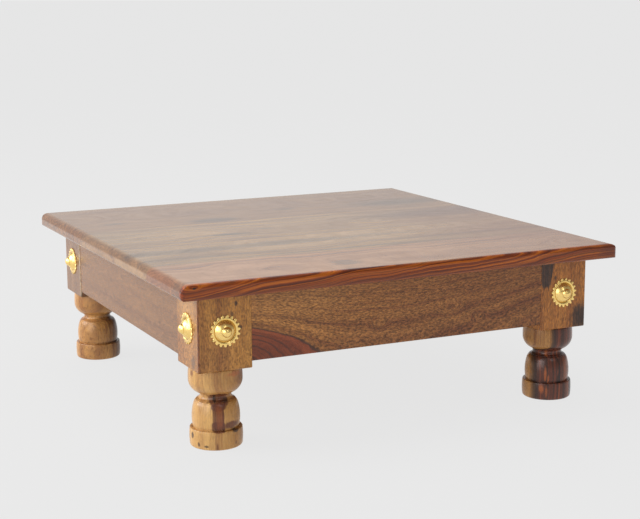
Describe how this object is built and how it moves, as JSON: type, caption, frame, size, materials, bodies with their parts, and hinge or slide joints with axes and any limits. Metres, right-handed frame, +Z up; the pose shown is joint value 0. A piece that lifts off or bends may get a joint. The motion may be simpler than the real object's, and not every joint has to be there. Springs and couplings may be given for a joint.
{
  "type": "low table",
  "caption": "Low square wooden table: an overhanging board top on a tenoned frame, turned legs under square corner posts, and toothed brass rosettes nailed to the posts.",
  "frame": {"origin": "on the floor, under the middle of the table", "axes": "+Z up, +X to the right along the front edge, -Y out of the front"},
  "size_m": [0.457, 0.457, 0.16],
  "materials": {
    "top_wood": "satin lacquer over figured sheesham",
    "rail_wood": "satin lacquer over figured sheesham",
    "post_wood": "satin lacquer over figured sheesham",
    "leg_wood": "satin lacquer, lathe turned",
    "cleat_wood": "planed, unfinished",
    "brass": "polished",
    "screw_steel": "zinc plated"
  },
  "bodies": {
    "root": {"top_board_1": "top_wood", "top_board_2": "top_wood", "top_board_3": "top_wood", "top_board_4": "top_wood", "front_rail": "rail_wood", "back_rail": "rail_wood", "left_rail": "rail_wood", "right_rail": "rail_wood", "front_left_post": "post_wood", "front_left_leg": "leg_wood", "front_left_front_rosette": "brass", "front_left_left_rosette": "brass", "front_right_post": "post_wood", "front_right_leg": "leg_wood", "front_right_front_rosette": "brass", "front_right_right_rosette": "brass", "back_left_post": "post_wood", "back_left_leg": "leg_wood", "back_left_back_rosette": "brass", "back_left_left_rosette": "brass", "back_right_post": "post_wood", "back_right_leg": "leg_wood", "back_right_back_rosette": "brass", "back_right_right_rosette": "brass", "rosette_nails": "brass", "left_cleat": "cleat_wood", "right_cleat": "cleat_wood", "cleat_screws": "screw_steel"}
  },
  "joints": []
}
